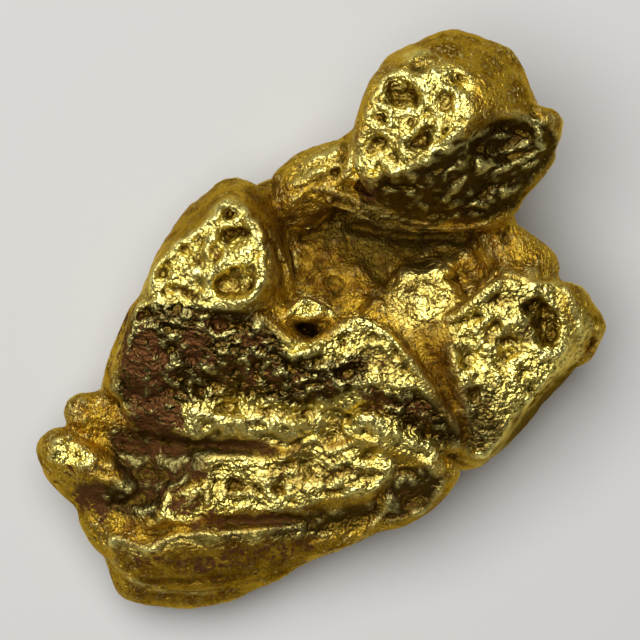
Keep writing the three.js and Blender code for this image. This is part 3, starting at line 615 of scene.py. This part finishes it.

# the slope that hangs down from the peak and the sunken sides of the head are granular, and their colour
# carries painted shade
shadedFaces = {
    "slope": [(-5.3, 0.25), (-4.2, 0.4), (-3.0, 0.3), (-2.2, 0.25), (-1.5, -0.1), (-1.1, -0.6),
              (-0.7, -1.0), (0.1, -1.05), (1.4, -1.0), (1.2, -1.9), (0.2, -2.3), (-0.8, -2.4),
              (-2.2, -2.2), (-4.1, -2.3), (-4.3, -3.1), (-5.2, -3.1), (-5.8, -2.0)],
    "headSide": [(4.1, 5.2), (5.0, 5.7), (6.0, 5.7), (6.6, 5.4), (6.8, 4.9), (6.2, 4.2), (5.6, 3.3),
                 (4.8, 2.9), (3.3, 3.0), (1.7, 3.4), (1.4, 3.9), (2.3, 4.1), (3.2, 4.6), (3.9, 5.2)],
    "corner": [(2.1, -4.4), (3.0, -4.2), (3.5, -4.6), (2.9, -5.4), (2.0, -5.7), (1.9, -5.0)],
    "pocket": [(-7.0, -4.7), (-5.6, -4.6), (-5.9, -3.7), (-6.1, -3.1), (-4.5, -3.2), (-2.6, -3.5),
               (-1.4, -3.8), (-3.2, -3.8), (-3.6, -4.6), (-4.4, -4.8), (-4.7, -5.6), (-5.6, -5.6)],
    "underLip": [(1.0, -2.0), (2.2, -2.1), (3.1, -2.1), (4.0, -3.4), (3.6, -3.6), (2.4, -2.9), (1.6, -2.5)],
}

hand = Sculptor(lump)
worn = hand.faces(wornFaces, block["wornSoft"])
worn = np.maximum(worn, hand.faces(fadingFaces, block["fadingSoft"]) * block["fadingWear"])
flank = (1 - hand.lift) * smoothStep(*block["flankPatches"], hand.slow[:, 0])
worn = np.maximum(worn * hand.lift, flank * block["flankWear"])
granularShade = hand.faces(shadedFaces, block["shadedSoft"])
granularShade = np.maximum(granularShade, hand.faces(halfShadedFaces, block["shadedSoft"]) * block["dimShade"])
earth = hand.spots(earthSpots)
tarnishAndShade = hand.spots(tarnishAndShadeSpots)
hand.soften((1 - worn) * (1 - block["shadedHold"] * granularShade))
allMarks = [headMarks, collarMarks, peakMarks, slabMarks, terraceMarks]
allMarks += [rollMarks, fingerMarks, wingMarks, saddleMarks]
for marks in allMarks:
    hand.carve(marks)
print("marks carved:", sum(len(marks) for marks in allMarks))

# small pits, kept where a face is fully worn and has no tarnish or painted shade
marked = hand.rise.copy()
dice = np.random.default_rng(block["seed"])
for count, least, most, rim in block["pits"]:
    for _ in range(count):
        x, y = dice.uniform(*block["pitField"])
        size = dice.uniform(least, most)
        tall = size * dice.uniform(*block["pitShape"])
        turn = dice.uniform(0, 180)
        hand.dent(x, y, size, tall, turn, size * dice.uniform(*block["pitDepth"]), rim)
pitted = smoothStep(0.8, 1, worn) * (1 - smoothStep(0.8, 1.05, tarnishAndShade))
hand.rise = marked + (hand.rise - marked) * pitted

# unevenness, strongest on the worn and shaded faces
rough = np.maximum(worn, granularShade) * 0.7 + 0.3 * (1 - tarnishAndShade)
hand.places += block["bend"] * hand.slow * (0.3 + 0.7 * rough)[:, None]
hand.out += block["dimple"] * hand.middling[:, 0] * (0.2 + 0.8 * rough)
hand.out += block["ripple"] * hand.quick[:, 0] * rough
hand.out += block["chatter"] * noiseVectors(hand.places, block["chatterScale"])[:, 0] * rough
hand.finish()

# painted shade for the hollows and a painted highlight for the proud edges, from how far each point lies
# under or over the even surface around it
evened = evenOut(lump, hand.places, block["proudRounds"])
proud = np.sum((hand.places - evened) * hand.normals, axis=1)
marked = evenOut(lump, marked, 1)
hollowShade = np.maximum(smoothStep(*block["hollowDepth"], -proud), smoothStep(*block["cutDepth"], -marked))
# the painted highlight goes on proud edges and raised marks, most on the worn and shaded faces and least
# under tarnish and painted shade
ridge = smoothStep(*block["ridgeHeight"], marked) * (proud > 0)
edgeHighlight = np.maximum(smoothStep(*block["edgeHeight"], proud), ridge)
edgeHighlight *= 0.25 + 0.75 * np.maximum(worn, granularShade)
edgeHighlight *= 1 - 0.6 * smoothStep(0.5, 1.0, tarnishAndShade)
masks = {"worn": worn, "granularShade": granularShade, "earth": earth, "tarnishAndShade": tarnishAndShade, "hollowShade": hollowShade, "edgeHighlight": edgeHighlight}
for name, values in masks.items():
    hand.keep(name, values)
triangles = sum(len(face.vertices) - 2 for face in lump.data.polygons)
print("nugget finished:", triangles, "triangles")
resizeAll(lump, 1 / block["bench"])
bpy.ops.object.shade_smooth()
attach(lump, "root")
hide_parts("nugget")


class Wire:
    # a shader socket that takes part in Python sums; with no socket it only makes nodes
    def __init__(self, tree, socket=None):
        self.tree, self.socket = tree, socket

    def feed(self, target, value):
        if isinstance(value, Wire):
            self.tree.links.new(value.socket, target)
        else:
            target.default_value = value

    def node(self, kind, settings, values, output=0):
        made = self.tree.nodes.new(kind)
        for key, value in settings.items():
            setattr(made, key, value)
        for key, value in values.items():
            self.feed(made.inputs[key], value)
        return Wire(self.tree, made.outputs[output])

    def sum(self, operation, first, second):
        return self.node("ShaderNodeMath", {"operation": operation}, {0: first, 1: second})

    def __add__(self, other):
        return self.sum("ADD", self, other)

    def __radd__(self, other):
        return self.sum("ADD", other, self)

    def __sub__(self, other):
        return self.sum("SUBTRACT", self, other)

    def __rsub__(self, other):
        return self.sum("SUBTRACT", other, self)

    def __mul__(self, other):
        return self.sum("MULTIPLY", self, other)

    def __rmul__(self, other):
        return self.sum("MULTIPLY", other, self)


goldLook = {
    "worn": (0.96, 0.785, 0.19, 1),
    "smooth": (0.60, 0.38, 0.036, 1),
    "mottle": (0.24, 0.115, 0.010, 1),
    "fleck": (0.85, 0.68, 0.2, 1),
    # tarnish, partly painted shade
    "tarnishAndShade": (0.16, 0.068, 0.004, 1),
    # painted shade for the shaded faces
    "granularShade": (0.075, 0.045, 0.011, 1),
    # darkening of the gaps between granules
    "granuleGap": (0.10, 0.06, 0.008, 1),
    "rim": (0.85, 0.72, 0.40, 1),
    "earth": (0.13, 0.052, 0.016, 1),
    # painted shade in the hollows
    "hollowShade": (0.13, 0.08, 0.010, 1),
    # painted highlight on proud edges and ridges
    "edgeHighlight": (1.0, 0.89, 0.31, 1),
    # scale, detail and distortion of each noise
    "fineNoise": (7000.0, 3.0, 0.6),
    "coarseNoise": (2600.0, 2.0, 0.8),
    "grainNoise": (3500.0, 3.0, 0.0),
    "patchNoise": (1500.0, 3.0, 0.0),
    "feltNoise": (12000.0, 3.0, 0.4),
    "swirlNoise": (4000.0, 1.0, 0.0),
    "feltStretch": (1.0, 0.6, 0.6),
    "granuleSize": 6500.0,
    "granuleBend": 0.00025,  # how far the granules' borders are bent, in metres
    "bumpDepth": 0.0001,
    "smoothRoughness": 0.46,
}

gold = bpy.data.materials.new("nativeGold")
gold.use_nodes = True
shader = gold.node_tree.nodes["Principled BSDF"]
draw = Wire(gold.node_tree)


def layerOf(name):
    return draw.node("ShaderNodeAttribute", {"attribute_name": name}, {}, "Fac")


def noiseOf(name, place, output=0):
    scale, detail, distortion = goldLook[name]
    values = {"Vector": place, "Scale": scale, "Detail": detail, "Distortion": distortion}
    return draw.node("ShaderNodeTexNoise", {}, values, output)


def blendOf(amount, first, second):
    return draw.node("ShaderNodeMix", {"data_type": "RGBA"}, {0: amount, 6: first, 7: second}, 2)


def clampOf(value):
    return draw.node("ShaderNodeClamp", {}, {"Value": value})


spot = draw.node("ShaderNodeTexCoord", {}, {}, "Object")
fine = noiseOf("fineNoise", spot)
coarse = noiseOf("coarseNoise", spot)
grain = noiseOf("grainNoise", spot)
patches = noiseOf("patchNoise", spot)
stretch = goldLook["feltStretch"]
stretched = draw.node("ShaderNodeVectorMath", {"operation": "MULTIPLY"}, {0: spot, 1: stretch})
felt = noiseOf("feltNoise", stretched)
swirl = noiseOf("swirlNoise", spot, "Color")
bending = (goldLook["granuleBend"],) * 3
bent = draw.node("ShaderNodeVectorMath", {"operation": "MULTIPLY_ADD"}, {0: swirl, 1: bending, 2: spot})
granuleValues = {"Vector": bent, "Scale": goldLook["granuleSize"]}
granules = draw.node("ShaderNodeTexVoronoi", {"feature": "F1"}, granuleValues)

wornLayer, granularShadeLayer, tarnishAndShadeLayer = layerOf("worn"), layerOf("granularShade"), layerOf("tarnishAndShade")
hollowShadeLayer, edgeHighlightLayer, earthLayer = layerOf("hollowShade"), layerOf("edgeHighlight"), layerOf("earth")
earthCover = clampOf((earthLayer * 1.3 + grain * 2 + fine * 4 + patches - edgeHighlightLayer * 1.6 - 4.0) * 1.5)
# darker in the gaps between the granules where the coarse noise is high
granuleGapCover = clampOf((granules + coarse * 1.2 - 1.25) * 3)
crust = draw.node("ShaderNodeMath", {"operation": "MAXIMUM"}, {0: wornLayer, 1: granularShadeLayer})

# granules stand out on the crust, a felt of fine grain on the smooth metal
height = fine * 0.7 + coarse * 1.1 - granules * (crust * 0.15 + 0.25) + felt * (0.9 - crust * 0.8)
height = height * (crust * 0.2 + 0.8 - tarnishAndShadeLayer * 0.1)
bumpValues = {"Height": height, "Strength": 1.0, "Distance": goldLook["bumpDepth"]}
bump = draw.node("ShaderNodeBump", {}, bumpValues)

# mottled smooth metal, then the worn faces, then tarnish and painted shade, painted shade on the shaded
# faces and in the hollows, then painted highlights on the edges, then the darker granule gaps and the earth
colour = blendOf(patches * 6 + felt * 4 - 4.6, goldLook["smooth"], goldLook["mottle"])
colour = blendOf(felt * 6 + grain * 4 + patches * 3 - 7.0, colour, goldLook["fleck"])
colour = blendOf(wornLayer, colour, goldLook["worn"])
# tarnish and painted shade, in patches
colour = blendOf(tarnishAndShadeLayer * (patches * 1.5 + grain * 1.5 - 0.75), colour, goldLook["tarnishAndShade"])
# painted shade on the shaded faces, broken up by the felt and fine noise
colour = blendOf(granularShadeLayer * (3.2 - felt * 1.6 - fine * 1.8), colour, goldLook["granularShade"])
# painted shade in the hollows, in patches
colour = blendOf(hollowShadeLayer * (coarse * 2 - 0.1), colour, goldLook["hollowShade"])
# painted highlight on the edges, in specks
colour = blendOf(edgeHighlightLayer * (fine * 2.4 - 0.25 - granularShadeLayer * 0.35), colour, goldLook["edgeHighlight"])
colour = blendOf(granuleGapCover * (crust * 0.6 + 0.1), colour, goldLook["granuleGap"])
colour = blendOf(earthCover, colour, goldLook["earth"])
draw.feed(shader.inputs["Base Color"], colour)
draw.feed(shader.inputs["Metallic"], 1 - earthCover * 0.15)
roughness = goldLook["smoothRoughness"] - wornLayer * 0.16 + tarnishAndShadeLayer * 0.12 + earthCover * 0.25
draw.feed(shader.inputs["Roughness"], roughness)
draw.feed(shader.inputs["Normal"], bump)
shader.inputs["Specular Tint"].default_value = goldLook["rim"]
lump.data.materials.append(gold)

studio = {
    "floor": (0.6, 0.597, 0.587, 1),
    "floorSize": 0.6,
    "floorRoughness": 0.95,
    "floorGloss": 0.1,
    "room": (0.034, 0.026, 0.012, 1),
    "lampPlace": (-0.03, 0.03, 0.15),
    "lampAim": (0, 0, 0.004),
    "lampWidth": 0.16,
    "lampPower": 0.335,
    "lens": 200,
    "sensor": 36,
    "nearClip": 0.01,
}
bpy.ops.mesh.primitive_plane_add(size=studio["floorSize"])
floor = bpy.context.active_object
floor.name = "floor"
paleFloor = bpy.data.materials.new("paleFloor")
paleFloor.use_nodes = True
floorShader = paleFloor.node_tree.nodes["Principled BSDF"]
floorShader.inputs["Base Color"].default_value = studio["floor"]
floorShader.inputs["Roughness"].default_value = studio["floorRoughness"]
floorShader.inputs["Specular IOR Level"].default_value = studio["floorGloss"]
floor.data.materials.append(paleFloor)

room = bpy.data.worlds.new("room")
room.use_nodes = True
room.node_tree.nodes["Background"].inputs["Color"].default_value = studio["room"]
bpy.context.scene.world = room

bpy.ops.object.light_add(type="AREA", location=studio["lampPlace"])
lamp = bpy.context.active_object
lamp.name = "keyLamp"
lamp.data.shape = "DISK"
lamp.data.size = studio["lampWidth"]
lamp.data.energy = studio["lampPower"]
lampWay = Vector(studio["lampAim"]) - Vector(studio["lampPlace"])
lamp.rotation_euler = lampWay.to_track_quat("-Z", "Y").to_euler()

eyeX, eyeY = block["eyePlace"]
eyeZ = block["eyeHeight"] + block["planHeight"]
bpy.ops.object.camera_add(location=Vector((eyeX, eyeY, eyeZ)) / block["bench"])
camera = bpy.context.active_object
camera.data.lens = studio["lens"]
camera.data.sensor_width = studio["sensor"]
camera.data.clip_start = studio["nearClip"]
bpy.context.scene.camera = camera
bpy.context.scene.view_settings.view_transform = "Standard"
print("studio ready")
